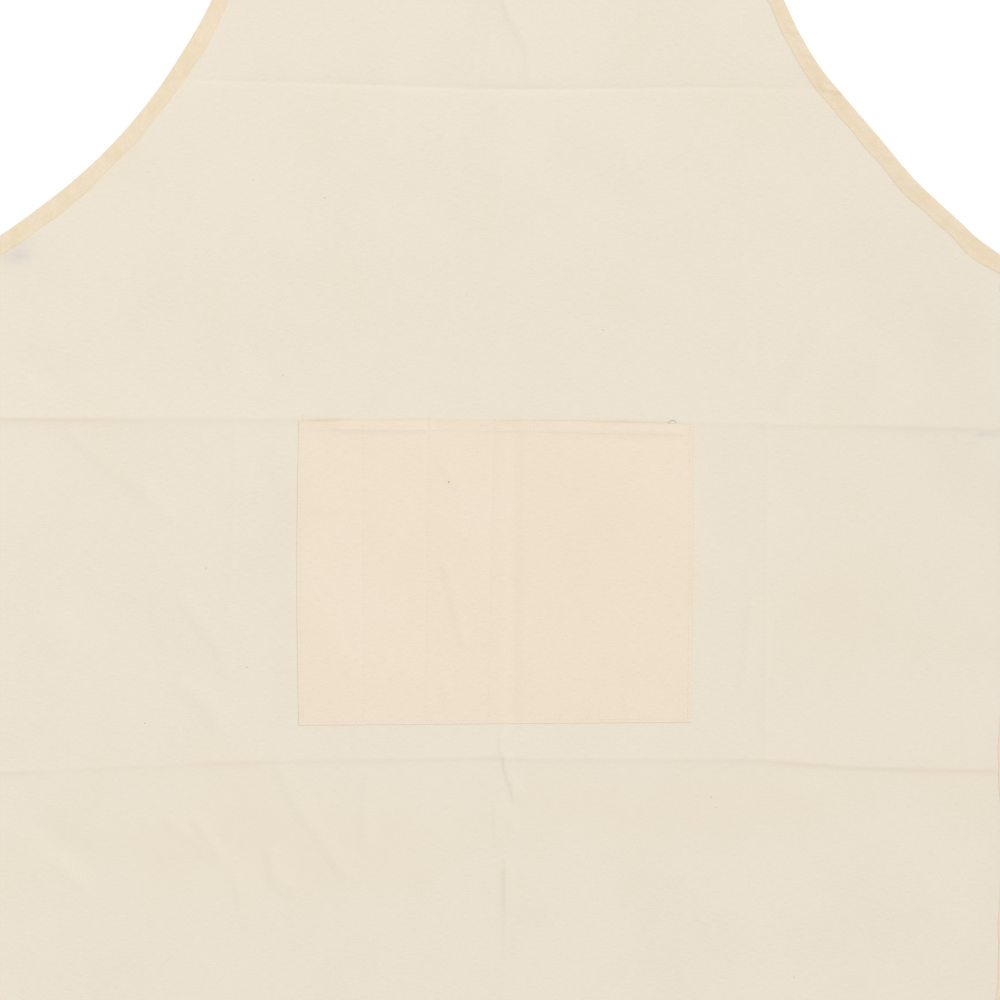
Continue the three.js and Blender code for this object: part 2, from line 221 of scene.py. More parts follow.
def smooth_curve(knots, steps):
    """Points on a curve that runs evenly through every knot."""
    knots = np.asarray(knots, float)
    around = np.vstack([knots[:1], knots, knots[-1:]])
    along = np.linspace(0, len(knots) - 1, steps + 1)
    first = np.minimum(along.astype(int), len(knots) - 2)
    share = (along - first)[:, None]
    before, start, end, after = (around[first + place] for place in range(4))
    leave, arrive = (end - before) / 2, (after - start) / 2
    cubic = 2 * start - 2 * end + leave + arrive
    square = 3 * end - 3 * start - 2 * leave - arrive
    return cubic * share**3 + square * share**2 + leave * share + start


armholes = {
    side: smooth_curve(
        [*zip(ARMHOLE_X[side], ARMHOLE_Y), (side * HALF_WIDTH, WAIST_CORNER_Y[side])], CURVE_STEPS
    )
    for side in (LEFT, RIGHT)
}


def edge_x(side, y):
    """X of the finished edge at the heights y: armhole, side and rounded bottom corner."""
    upward = armholes[side][::-1]
    drop = np.clip(HEM_Y + CORNER_RADIUS - y, 0, CORNER_RADIUS)
    rounding = CORNER_RADIUS - np.sqrt(CORNER_RADIUS**2 - drop**2)
    out = np.interp(y, RIGHT_SIDE_Y, RIGHT_SIDE_OUT) if side == RIGHT else 0
    return np.interp(y, upward[:, 1], upward[:, 0]) - side * rounding + out


def eased(value, low, high):
    """0 below low and 1 above high, with a soft start and end."""
    share = np.clip((value - low) / (high - low), 0, 1)
    return share * share * (3 - 2 * share)


def crease_height(knots, along, beside):
    """Height of a crease at points with these places along it and beside it."""
    places, *columns = np.array(knots, float).T
    line, rise, step, opposite_step, reach = (np.interp(along, places, column) for column in columns)
    away = beside - line
    near = np.where(away > 0, step, opposite_step)
    far_reach = np.where(away > 0, reach, CREASE_REACH)
    away = np.abs(away)
    return near * np.exp(-away / STEP_REACH) + (rise - near) * np.exp(-away / far_reach)


def run_along(line):
    """Length of a line up to each of its points."""
    return np.concatenate([[0], np.cumsum(np.linalg.norm(np.diff(line, axis=0), axis=1))])


def wrinkle_height(wrinkles, x, y):
    """Height of soft wrinkles that run out at both ends."""
    height = np.zeros(np.shape(x))
    for points, rise, right_width, left_width in wrinkles:
        run = run_along(points)
        nearest, place, width = np.inf, 0, right_width
        for (x0, y0), (x1, y1), start, end in zip(points, points[1:], run, run[1:]):
            way_x, way_y = (x1 - x0) / (end - start), (y1 - y0) / (end - start)
            along = np.clip((x - x0) * way_x + (y - y0) * way_y, 0, end - start)
            away_x, away_y = x - x0 - along * way_x, y - y0 - along * way_y
            away = np.hypot(away_x, away_y)
            closer = away < nearest
            to_right = away_x * way_y > away_y * way_x
            width = np.where(closer, np.where(to_right, right_width, left_width), width)
            place = np.where(closer, start + along, place)
            nearest = np.minimum(nearest, away)
        fade = min(WRINKLE_FADE * right_width, run[-1] / 2)
        runs_out = eased(place, 0, fade) * eased(run[-1] - place, 0, fade)
        height += rise * runs_out * np.exp(-((nearest / width) ** 2))
    return height


def panel_level(x, y):
    """Height of the middle of the panel's cloth above the table."""
    across = np.minimum(x - edge_x(LEFT, y), edge_x(RIGHT, y) - x)
    from_edge = np.minimum(across, np.minimum(y - HEM_Y, BIB_Y - y))
    level = REST_LEVEL + EDGE_LIFT * np.clip(1 - from_edge / LIFT_REACH, 0, 1) ** 2
    for creases, along, beside in ((ACROSS_CREASES, x, y), (DOWN_CREASES, y, x)):
        for knots in creases.values():
            level = level + crease_height(knots, along, beside)
    for wavelength, direction, start, height in PANEL_SWELLS:
        way = math.radians(direction)
        waves = (x * math.cos(way) + y * math.sin(way)) / wavelength
        level = level + height * np.sin(2 * math.pi * waves + start)
    return np.maximum(level + wrinkle_height(PANEL_WRINKLES, x, y), LOWEST_LEVEL)


def graded(low, high, zones, widest):
    """Places from low to high, spaced as each zone says within it and further apart away from it."""
    even = np.linspace(low, high, FINE_STEPS)
    spacing = np.full(FINE_STEPS, float(widest))
    for start, end, zone_spacing in zones:
        away = np.maximum(np.maximum(start - even, even - end), 0)
        spacing = np.minimum(spacing, zone_spacing + away * SPACING_GROWTH)
    count = np.concatenate([[0], np.cumsum(np.diff(even) / spacing[1:])])
    return np.interp(np.linspace(0, count[-1], math.ceil(count[-1]) + 1), count, even)


def lay_cloth(name, columns, rows, place):
    """A sheet of columns by rows. place gives each corner's X, Y and Z, and its place on the flat cloth."""
    bpy.ops.object.select_all(action="DESELECT")
    bpy.ops.mesh.primitive_grid_add(x_subdivisions=columns, y_subdivisions=rows, size=2)
    sheet = bpy.context.object
    sheet.name = sheet.data.name = name
    corners = np.empty(3 * len(sheet.data.vertices))
    sheet.data.vertices.foreach_get("co", corners)
    steps = (corners.reshape(-1, 3)[:, :2] + 1) / 2 * (columns, rows)
    column, row = np.rint(steps).astype(int).T
    x, y, z, flat_x, flat_y = place(column, row)
    sheet.data.vertices.foreach_set("co", np.column_stack([x, y, z]).ravel() * MM)
    corner_of = np.empty(len(sheet.data.loops), int)
    sheet.data.loops.foreach_get("vertex_index", corner_of)
    flat = np.column_stack([flat_x, flat_y])[corner_of] * MM
    sheet.data.uv_layers.active.uv.foreach_set("vector", flat.ravel())
    sheet.data.update()
    return sheet


def thicken(sheet, thickness):
    """Gives a sheet its thickness, half to each side, and a smooth surface."""
    wall = sheet.modifiers.new("thickness", "SOLIDIFY")
    wall.thickness = thickness * MM
    wall.offset = 0
    bpy.ops.object.select_all(action="DESELECT")
    sheet.select_set(True)
    bpy.context.view_layer.objects.active = sheet
    bpy.ops.object.modifier_apply(modifier=wall.name)
    bpy.ops.object.shade_smooth_by_angle(angle=math.radians(SMOOTH_ANGLE))


# The place at which each crease runs, on average
crease_rows, crease_columns = (
    {name: np.mean([knot[1] for knot in knots]) for name, knots in creases.items()}
    for creases in (ACROSS_CREASES, DOWN_CREASES)
)
row_zones, column_zones = (
    [(line, line, CREASE_SPACING) for line in lines.values()] for lines in (crease_rows, crease_columns)
)
panel_rows = graded(HEM_Y + PANEL_INSET, BIB_Y - PANEL_INSET, row_zones + WRINKLED_ROWS, CLOTH_SPACING)
panel_columns = graded(-HALF_WIDTH, HALF_WIDTH, column_zones + WRINKLED_COLUMNS, CLOTH_SPACING)


def along_creases(x, y):
    """The heights y of straight rows, swung so that the rows beside a crease run along it."""
    swung = y
    for name, knots in ACROSS_CREASES.items():
        crease_x, crease_y, *_ = np.array(knots, float).T
        drift = np.interp(x, crease_x, crease_y) - crease_rows[name]
        swung = swung + drift * (1 - eased(np.abs(y - crease_rows[name]), 0, DRIFT_REACH))
    return swung


def panel_place(column, row):
    """Where a corner of the panel's mesh lies. X and Y hang on each other, so they are settled in turns."""
    share = (panel_columns[column] + HALF_WIDTH) / (2 * HALF_WIDTH)
    y = panel_rows[row]
    for _ in range(SETTLING_TURNS):
        low = edge_x(LEFT, y) + PANEL_INSET
        high = edge_x(RIGHT, y) - PANEL_INSET
        x = low + (high - low) * share
        y = along_creases(x, panel_rows[row])
    return x, y, panel_level(x, y), x, y


panel = lay_cloth("calico_panel", len(panel_columns) - 1, len(panel_rows) - 1, panel_place)
thicken(panel, CALICO_THICKNESS)


def linear(hex_colour):
    """An sRGB hex colour as linear red, green, blue and alpha."""
    shares = [int(hex_colour[place : place + 2], 16) / 255 for place in (1, 3, 5)]
    return [share / 12.92 if share <= 0.04045 else ((share + 0.055) / 1.055) ** 2.4 for share in shares] + [1]


def add_node(material, kind, inputs, **settings):
    """A node with its settings; each input takes a value, or a link from another node's output."""
    node = material.node_tree.nodes.new(kind)
    for name, value in settings.items():
        setattr(node, name, value)
    for socket, value in inputs.items():
        if isinstance(value, bpy.types.NodeSocket):
            material.node_tree.links.new(value, node.inputs[socket])
        else:
            node.inputs[socket].default_value = value
    return node


# Yarns of calico are 0.4 mm apart, too fine to show from here, so they are drawn twice as coarse
YARN_WIDTH = 0.8
SLUB_LENGTHS = (2.2, 6)  # thick places in the uneven yarns that run down and across
YARN_SHARES = (0.6, 1.4)  # thinnest and thickest where two yarns cross, of two noises added
YARN_DETAIL = 2
YARN_RELIEF = 0.1
RELIEF_STRENGTH = 0.3
CALICO_MOTTLE = 70  # the tint of its fibre comes and goes over this length
MOTTLE_DETAIL = 3
MOTTLE_ROUGHNESS = 0.6
MOTTLE_SHARES = (0.35, 0.7)  # least and most of the noise that tints the fibre
COTTON_ROUGHNESS = 0.92
COTTON_SHINE = 0.15
COTTON_FUZZ = 0.05
MIX_FACTOR, MIX_A, MIX_B, MIX_RESULT = 0, 6, 7, 2  # sockets of a colour mix


def woven_cotton(name, thin, even, thick, tint, turn=0, mottle=CALICO_MOTTLE):
    """Plain-woven cotton, matt and a little fuzzy: uneven yarns cross, thin places show more shade, and
    the tint of unbleached fibre comes and goes over the length of mottle. turn is the yarns' angle on the
    piece. Gives the material and the socket with its colour."""
    cotton = bpy.data.materials.new(name)
    cotton.use_nodes = True
    shader = cotton.node_tree.nodes["Principled BSDF"]
    shader.inputs["Roughness"].default_value = COTTON_ROUGHNESS
    shader.inputs["Specular IOR Level"].default_value = COTTON_SHINE
    shader.inputs["Sheen Weight"].default_value = COTTON_FUZZ
    flat = add_node(cotton, "ShaderNodeTexCoord", {}).outputs["UV"]
    yarns = []
    for quarter, slub_length in zip((math.pi / 2, 0), SLUB_LENGTHS):
        turned = add_node(cotton, "ShaderNodeVectorRotate", {"Vector": flat, "Angle": turn + quarter})
        drawn_out = add_node(
            cotton,
            "ShaderNodeMapping",
            {
                "Vector": turned.outputs["Vector"],
                "Scale": (1 / (slub_length * MM), 1 / (YARN_WIDTH * MM), 1),
            },
        )
        yarn = add_node(
            cotton,
            "ShaderNodeTexNoise",
            {"Vector": drawn_out.outputs["Vector"], "Scale": 1, "Detail": YARN_DETAIL},
            noise_dimensions="2D",
        )
        yarns.append(yarn.outputs["Fac"])
    crossing = add_node(cotton, "ShaderNodeMath", {0: yarns[0], 1: yarns[1]}, operation="ADD")
    least, most = YARN_SHARES
    cover = add_node(
        cotton, "ShaderNodeMapRange", {"Value": crossing.outputs[0], "From Min": least, "From Max": most}
    )
    tone = add_node(cotton, "ShaderNodeValToRGB", {"Fac": cover.outputs["Result"]})
    tone.color_ramp.elements[0].color = linear(thin)
    tone.color_ramp.elements[1].color = linear(thick)
    tone.color_ramp.elements.new(0.5).color = linear(even)
    drift = add_node(
        cotton,
        "ShaderNodeTexNoise",
        {
            "Vector": flat,
            "Scale": 1 / (mottle * MM),
            "Detail": MOTTLE_DETAIL,
            "Roughness": MOTTLE_ROUGHNESS,
        },
        noise_dimensions="2D",
    )
    least, most = MOTTLE_SHARES
    patches = add_node(
        cotton, "ShaderNodeMapRange", {"Value": drift.outputs["Fac"], "From Min": least, "From Max": most}
    )
    colour = add_node(
        cotton,
        "ShaderNodeMix",
        {MIX_FACTOR: patches.outputs["Result"], MIX_A: tone.outputs["Color"], MIX_B: linear(tint)},
        data_type="RGBA",
        blend_type="MULTIPLY",
    )
    relief = add_node(
        cotton,
        "ShaderNodeBump",
        {"Height": crossing.outputs[0], "Strength": RELIEF_STRENGTH, "Distance": YARN_RELIEF * MM},
    )
    cotton.node_tree.links.new(colour.outputs[MIX_RESULT], shader.inputs["Base Color"])
    cotton.node_tree.links.new(relief.outputs["Normal"], shader.inputs["Normal"])
    return cotton, colour.outputs[MIX_RESULT]


# Marks on the panel: place, half width and half height, and strength of each smudge of grey dust and of
# each yellow patch: broad ones of yellowed fibre, narrow ones of painted shade and yellowing
GREY_SMUDGES = [
    ((-312, -3), 8, 6, 0.36),
    ((315, -121), 3.5, 2.6, 0.2),
    ((323, -121.5), 3.5, 2.6, 0.2),
    ((310, -127.5), 5, 2.6, 0.15),
    ((302, -95), 40, 120, 0.045),
]
YELLOW_AND_SHADE_PATCHES = [
    ((-150, -385), 150, 45, 0.4),
    ((125, -360), 110, 25, 0.4),
    ((220, -220), 60, 70, 0.25),
    ((250, -345), 90, 24, 0.25),
    # narrow marks along the packing folds and the tuck: partly yellowed fibre, partly painted shade
    ((3, 105), 35, 1.8, 0.3),
    ((200, -336), 30, 2.2, 0.45),
    ((-172, -334.8), 25, 2, 0.5),
    ((3.8, -336), 1.6, 9, 0.25),
    ((8, -351), 2.4, 9, 0.2),
    ((-3, -375), 2.5, 13, 0.14),
    ((-112, -111), 16, 1.3, 1),  # painted shade from here on, where the pocket's mouth gapes above its fold
    ((-65, -110.9), 25, 1, 0.5),
    ((40, -111.7), 20, 1, 0.5),
    ((86, -112.7), 24, 1.2, 0.6),
]
# The packing folds are tinted on the lower or left side of their ridges, the side turned from the light:
# partly yellowed fibre, partly painted shade. Strength for each mm of height, distance from the ridge, and
# half width
RIDGE_TINT = 0.5
TINT_BESIDE = 1
TINT_REACH = 1.8


def ridge_shade_and_yellowing(x, y):
    """How strongly the packing folds are tinted at points of the panel, with yellowing and painted shade."""
    strength = np.zeros_like(x)
    for creases, along, beside in ((ACROSS_CREASES, x, y), (DOWN_CREASES, y, x)):
        for knots in creases.values():
            places, line, rise, *_ = np.array(knots, float).T
            away = (beside - np.interp(along, places, line) + TINT_BESIDE) / TINT_REACH
            ridge = np.maximum(np.interp(along, places, rise), 0)
            strength += RIDGE_TINT * ridge * np.exp(-(away**2))
    return strength


def mark_cloth(sheet, cotton, colour, name, marks, mark_colour, added_marks=None):
    """Marks a sheet with a colour, which is a real stain or painted shade. How strongly each point is marked,
    from 0 to 1, is stored as an attribute of the piece, and mixes the mark's colour into the cotton's colour.
    The optional function of X and Y adds to the marks. Gives the socket with the marked colour."""
    points = np.empty(3 * len(sheet.data.vertices))
    sheet.data.vertices.foreach_get("co", points)
    x, y = points.reshape(-1, 3)[:, :2].T / MM
    strength = np.zeros_like(x)
    for (mark_x, mark_y), half_width, half_height, most in marks:
        away = ((x - mark_x) / half_width) ** 2 + ((y - mark_y) / half_height) ** 2
        strength = np.maximum(strength, most * np.exp(-away))
    if added_marks:
        strength = np.minimum(strength + added_marks(x, y), 1)
    sheet.data.attributes.new(name, "FLOAT", "POINT").data.foreach_set("value", strength)
    marked = add_node(cotton, "ShaderNodeAttribute", {}, attribute_name=name)
    tinted = add_node(
        cotton,
        "ShaderNodeMix",
        {MIX_FACTOR: marked.outputs["Fac"], MIX_A: colour, MIX_B: linear(mark_colour)},
        data_type="RGBA",
    ).outputs[MIX_RESULT]
    cotton.node_tree.links.new(tinted, cotton.node_tree.nodes["Principled BSDF"].inputs["Base Color"])
    return tinted


# Unbleached calico is a pale matt cream, with fine uneven yarns and hardly any mottle
calico, colour = woven_cotton("unbleached_calico", "#E3DACA", "#E6DDCD", "#E8E0D0", "#FEFDFB")
# The panel's yellow marks: yellowed fibre in broad patches, painted shade at the pocket's mouth, and both
# along the packing folds
colour = mark_cloth(panel, calico, colour, "yellowing_and_shade", YELLOW_AND_SHADE_PATCHES, "#E4D8C2", ridge_shade_and_yellowing)
mark_cloth(panel, calico, colour, "grey_dust", GREY_SMUDGES, "#B4B4BC")

# Flecks of seed husk are spun into unbleached yarn: place and width of the plain ones, and how many finer
# ones are strewn over the panel
PANEL_FLECKS = [
    (-189.8, -208, 0.6), (-163.2, -272.4, 0.6), (-229.5, -308.8, 0.6), (-139.8, -82.6, 0.5),
    (-112.5, 32.5, 0.6), (68.3, -53.3, 0.6), (-159.3, 44.2, 0.5), (141.7, -363.4, 0.5),
    (138.5, -356.9, 0.6), (192.4, -473.9, 0.6),
]
FINE_FLECKS = 60
FINE_FLECK_WIDTH = 0.28
FLECK_LENGTH = 1.5  # for a width of 1
FLECK_HEIGHT = 0.3
FLECK_MARGIN = 25
STREWING_SEED = 11
GRAIN_SEGMENTS, GRAIN_RINGS = 6, 3  # few, because there are thousands of copies

dice = np.random.default_rng(STREWING_SEED)
bpy.ops.object.select_all(action="DESELECT")
bpy.ops.mesh.primitive_uv_sphere_add(segments=GRAIN_SEGMENTS, ring_count=GRAIN_RINGS, radius=0.5)
grain = bpy.context.object.data.copy()
bpy.ops.object.delete()


def joined_copies(name, shape, places, along, sizes):
    """One mesh of many copies of a small shape, at places in mm, with its Z axis turned along and its
    length, width and height in sizes."""
    corners = np.array([corner.co for corner in shape.vertices])
    faces = [tuple(face.vertices) for face in shape.polygons]
    across = np.cross((0, 0, 1), along)
    across /= np.linalg.norm(across, axis=1)[:, None]
    upward = np.cross(along, across)
    points = places[:, None]
    for part, way, size in ((2, along, 0), (0, across, 1), (1, upward, 2)):
        points = points + corners[None, :, part, None] * sizes[:, None, size, None] * way[:, None]
    starts = range(0, len(places) * len(corners), len(corners))
    all_faces = [[start + corner for corner in face] for start in starts for face in faces]
    mesh = bpy.data.meshes.new(name)
    mesh.from_pydata(points.reshape(-1, 3) * MM, [], all_faces)
    mesh.shade_smooth()
    copies = bpy.data.objects.new(name, mesh)
    bpy.context.collection.objects.link(copies)
    return copies


def speckled(name, dark, pale, size, roughness):
    """A matt material of two tones that change at about the given size."""
    material = bpy.data.materials.new(name)
    material.use_nodes = True
    place = add_node(material, "ShaderNodeTexCoord", {})
    noise = add_node(
        material, "ShaderNodeTexNoise", {"Vector": place.outputs["Object"], "Scale": 1 / (size * MM)}
    )
    tone = add_node(material, "ShaderNodeValToRGB", {"Fac": noise.outputs["Fac"]})
    tone.color_ramp.elements[0].color = linear(dark)
    tone.color_ramp.elements[1].color = linear(pale)
    shader = material.node_tree.nodes["Principled BSDF"]
    shader.inputs["Roughness"].default_value = roughness
    material.node_tree.links.new(tone.outputs["Color"], shader.inputs["Base Color"])
    return material


# Seed husk shows as dull brown flecks, mottled at the size of its fibres
FIBRE_SIZE = 0.2
DULL_ROUGHNESS = 0.9
seed_husk = speckled("seed_husk", "#A0854F", "#C4AC80", FIBRE_SIZE, DULL_ROUGHNESS)


def add_to_part(piece, material, node=None):
    """Gives a piece its material and its place in the part, where it may stand for one of the solids."""
    piece.data.materials.append(material)
    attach(piece, "root")
    if node:
        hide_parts(node)


def strew_flecks(name, flecks, face):
    """Flecks, each given by its X, Y and width, that lie in the face of a cloth at all angles."""
    x, y, width = np.array(flecks, float).T
    turn = dice.uniform(0, math.pi, len(x))
    along = np.column_stack([np.cos(turn), np.sin(turn), np.zeros(len(x))])
    sizes = np.column_stack([width * FLECK_LENGTH, width, np.full(len(x), FLECK_HEIGHT)])
    strewn = joined_copies(name, grain, np.column_stack([x, y, face(x, y)]), along, sizes)
    add_to_part(strewn, seed_husk)
    return strewn


def panel_face(x, y):
    """Height of the panel's upper face."""
    return panel_level(x, y) + CALICO_THICKNESS / 2


fine_y = dice.uniform(HEM_Y + FLECK_MARGIN, BIB_Y - FLECK_MARGIN, FINE_FLECKS)
fine_share = dice.uniform(0, 1, FINE_FLECKS)
fine_low, fine_high = edge_x(LEFT, fine_y) + FLECK_MARGIN, edge_x(RIGHT, fine_y) - FLECK_MARGIN
fine_x = fine_low + (fine_high - fine_low) * fine_share
fine_flecks = np.column_stack([fine_x, fine_y, np.full(FINE_FLECKS, FINE_FLECK_WIDTH)])
panel_flecks = strew_flecks("panel_flecks", np.vstack([PANEL_FLECKS, fine_flecks]), panel_face)

add_to_part(panel, calico, "apron_panel")


# Pocket
# One patch of a warmer cut of the same calico, with its raw edges turned under and its mouth hemmed. It is
# sewn down at both sides, along the bottom and along three lines that part it into brush slots.
POCKET_SLOPE = 0.0076
POCKET_MOUTH_Y = -113.4  # the mouth falls and the bottom climbs to the right by the slope
POCKET_BOTTOM_Y = -309.1
SEAM_TOP_X = [-129.4, -87.8, -44.9, -2, 126.8]  # left side, three dividers, right side
SEAM_BOTTOM_X = [-129.4, -87.5, -47.1, -6.5, 125.5]
SEAM_BOWS = [-1.2, 0, 0, 0, 0.5]  # how far each bows out of line at half its height
MOUTH_BOW = 1.2  # the mouth bows up by this, at this X and over this half width
BOW_MIDDLE = -15
BOW_REACH = 130
SWELLS = [0.2, 0.2, 0.25, 0.9]  # how far each compartment stands open at the middle of its mouth
TURNED_UNDER = 8
HEM_DEPTH = 8.5
HEM_STEP = 4  # the outer layer comes down over this length below the hem
TURN_SETTLE = 14  # and over this past the edges that are turned under
POCKET_CLOTH = 0.16  # thinner than the panel, because its folds are pressed flat
LAYER = 0.18  # from the middle of one layer to the next
SLACK = 0.15  # and where nothing is turned under
LEAST_SLACK = 0.05
SEAM_PULL = 0.04  # a divider's stitches draw the cloth down by this
SEAM_PULL_REACH = 1.6
# Where the mouth gapes, and small wrinkles of the outer layer, as for the panel
MOUTH_GAPES = [
    ([(-127, -112.4), (-89, -112)], 0.3, 6, 6),
    ([(-2, -112.4), (20, -112.6)], 0.25, 5, 5),
    ([(64, -113.5), (127, -114.4)], 0.25, 6, 6),
]
POCKET_WRINKLES = [
    ([(-110, -117.9), (-40, -118.2)], 0.45, 2.2, 7),
    ([(-10, -118.3), (40, -118.5)], 0.16, 2, 6),
    ([(30, -118.3), (124, -119.9)], 0.42, 2.6, 7),
    ([(-127, -170), (-84, -170)], 0.18, 3, 5),
    ([(-92, -157), (-50, -158.5)], 0.1, 2, 5),
    ([(-41, -136), (-22, -163)], 0.3, 2, 5),
    ([(-36, -200), (-22, -263)], 0.36, 1.9, 6),
    ([(-37, -276), (-30, -304)], 0.25, 2.5, 6),
]
POCKET_SPACING = 1.9
SEAM_SPACING = 0.7

pocket_height = POCKET_MOUTH_Y - POCKET_BOTTOM_Y


def mouth_y(x):
    """Y of the fold at the pocket's mouth."""
    bow = MOUTH_BOW * np.clip(1 - ((x - BOW_MIDDLE) / BOW_REACH) ** 2, 0, 1)
    return POCKET_MOUTH_Y - POCKET_SLOPE * x + bow


def bottom_y(x):
    """Y of the fold at the pocket's bottom."""
    return POCKET_BOTTOM_Y + POCKET_SLOPE * x


def seam_x(seam, up):
    """X of one of the pocket's five upright lines, at shares of the way up."""
    straight = SEAM_BOTTOM_X[seam] + (SEAM_TOP_X[seam] - SEAM_BOTTOM_X[seam]) * up
    return straight + SEAM_BOWS[seam] * np.sin(math.pi * np.clip(up, 0, 1))


def pocket_frame(x, y):
    """Distances from the pocket's bottom and mouth, share of the way up, and X of its seams, at points."""
    from_bottom = y - bottom_y(x)
    from_mouth = mouth_y(x) - y
    up = np.clip(from_bottom / pocket_height, 0, 1)
    seams = [seam_x(seam, up) for seam in range(len(SEAM_TOP_X))]
    return from_bottom, from_mouth, up, seams


def pocket_low(x, y):
    """Height of the middle of the layer that is turned under, on the panel or where the pocket stands
    open off it."""
    _, _, up, seams = pocket_frame(x, y)
    low_level = panel_level(x, y) + (CALICO_THICKNESS + POCKET_CLOTH) / 2 + wrinkle_height(MOUTH_GAPES, x, y)
    for low, high, swell in zip(seams, seams[1:], SWELLS):
        share = np.clip((x - low) / (high - low), 0, 1)
        low_level = low_level + swell * np.sin(math.pi * share) * np.sin(math.pi / 2 * up)
    return low_level


def pocket_gap(x, y):
    """Height of the pocket's outer layer above the layer that is turned under."""
    from_bottom, from_mouth, _, seams = pocket_frame(x, y)
    from_side = np.minimum(x - seams[0], seams[-1] - x)
    turned = 1 - eased(np.minimum(from_side, from_bottom), TURNED_UNDER, TURNED_UNDER + TURN_SETTLE)
    hemmed = 1 - eased(from_mouth, HEM_DEPTH, HEM_DEPTH + HEM_STEP)
    gap = SLACK + (LAYER - SLACK) * np.maximum(turned, hemmed) + wrinkle_height(POCKET_WRINKLES, x, y)
    for divider in seams[1:-1]:
        gap = gap - SEAM_PULL * np.exp(-(((x - divider) / SEAM_PULL_REACH) ** 2)) * (1 - hemmed)
    return np.maximum(gap, LEAST_SLACK)


# Steps across the pocket from one edge to the other: share of the way, distance added, layer (0 turned
# under, 1 outer) and how deep the step is turned under
Steps = namedtuple("Steps", "share offset layer turned")
UNDER_STEPS = [TURNED_UNDER, TURNED_UNDER / 2, 1.5]
BENDS = np.radians([-90, -45, 0, 45, 90])  # round the fold


def edge_to_edge(shares):
    """Steps that start turned under one edge, come round it, cross the piece and end under the other."""
    turned = np.array([*UNDER_STEPS, *np.zeros(len(BENDS))])
    offset = np.concatenate([UNDER_STEPS, LAYER / 2 * (1 - np.cos(BENDS))])
    layer = np.concatenate([np.zeros(len(UNDER_STEPS)), (1 + np.sin(BENDS)) / 2])
    middle = np.zeros(len(shares))
    return Steps(
        np.concatenate([np.zeros(len(turned)), shares, np.ones(len(turned))]),
        np.concatenate([offset, middle, -offset[::-1]]),
        np.concatenate([layer, middle + 1, layer[::-1]]),
        np.concatenate([turned, middle, turned[::-1]]),
    )


pocket_width = SEAM_TOP_X[-1] - SEAM_TOP_X[0]
seam_zones = [(x - SEAM_TOP_X[0], x - SEAM_TOP_X[0], SEAM_SPACING) for x in SEAM_TOP_X[1:-1]]
hem_start = pocket_height - HEM_DEPTH - HEM_STEP
hem_zones = [(hem_start, hem_start + HEM_STEP, SEAM_SPACING), (pocket_height, pocket_height, SEAM_SPACING)]
pocket_across = edge_to_edge(graded(LAYER, pocket_width - LAYER, seam_zones, POCKET_SPACING) / pocket_width)
pocket_up = edge_to_edge(graded(LAYER, pocket_height - LAYER, hem_zones, POCKET_SPACING) / pocket_height)


def pocket_place(column, row):
    """Where a corner of the pocket's mesh lies. What is turned under at a corner is cut back to a mitre."""
    across = Steps(*(part[column] for part in pocket_across))
    up = Steps(*(part[row] for part in pocket_up))
    share = up.share + up.offset / pocket_height
    left, right = seam_x(0, share), seam_x(-1, share)
    x = left + (right - left) * across.share + across.offset
    x = np.clip(x, left + up.turned, right - up.turned)
    bottom, mouth = bottom_y(x), mouth_y(x)
    y = bottom + (mouth - bottom) * up.share + up.offset
    y = np.clip(y, bottom + across.turned, mouth - across.turned)
    z = pocket_low(x, y) + pocket_gap(x, y) * np.minimum(across.layer, up.layer)
    return x, y, z, x, y


MITRE_WELD = 0.02  # corners that the mitre brings this close together become one
pocket = lay_cloth("calico_pocket", len(pocket_across.share) - 1, len(pocket_up.share) - 1, pocket_place)
bpy.ops.object.mode_set(mode="EDIT")
bpy.ops.mesh.select_all(action="SELECT")
bpy.ops.mesh.remove_doubles(threshold=MITRE_WELD * MM)
bpy.ops.mesh.dissolve_degenerate(threshold=MITRE_WELD * MM)
bpy.ops.object.mode_set(mode="OBJECT")
thicken(pocket, POCKET_CLOTH)
# The mouth's fold is painted with warm shade where the mouth gapes, and the right side with a thin line of
# painted shade where its edge stands off the panel; the wide compartment is tinted a little. Marks as for
# the panel
POCKET_SHADE_AND_YELLOWING = [
    ((-114, -112), 13, 0.7, 0.5),
    ((-70, -111.9), 60, 0.7, 0.2),
    ((7, -112.3), 8, 0.7, 0.35),
    ((80, -113.4), 20, 0.7, 0.28),
    ((110, -114.1), 20, 0.7, 0.2),
    # painted shade along the right side
    ((126.6, -212), 0.9, 130, 0.12),
    ((75, -240), 75, 90, 0.03),
]
# Warm calico is woven like the panel's, but of pinker fibre
warm_calico, colour = woven_cotton("warm_calico", "#E7D8C5", "#EADCC8", "#ECDECC", "#FEFDFB")
# The pocket's marks are painted shade at the mouth and the right side
mark_cloth(pocket, warm_calico, colour, "yellowing_and_shade", POCKET_SHADE_AND_YELLOWING, "#D8BE93")

# Lockstitch in unbleached cotton thread, eleven stitches to 25 mm, each with a pit where the needle went in
STITCH_PITCH = 2.3
STITCH_SIZE = (2, 0.36, 0.22)  # length, width and height
PIT_SIZE = (0.3, 0.34, 0.26)
STITCH_SPREAD = 0.06  # stitches differ in size by this share, and in direction by the sway
STITCH_SWAY = 0.05
EDGE_SEAM = 2.3  # from the pocket's sides and bottom to their stitches
HEM_SEAM = (6.2, 7.6)  # from the mouth to the hem's stitches, at the left and the right
PAST_MOUTH = [5.4, 0.4, 3.2, 2.8, -2]  # how far each seam runs on above the mouth
TACK_LENGTH = 8  # sewn twice at the ends
TACK_ASIDE = 0.4
SEAM_STEPS = 9
TWIST_SIZE = 0.35
THREAD_ROUGHNESS = 0.8

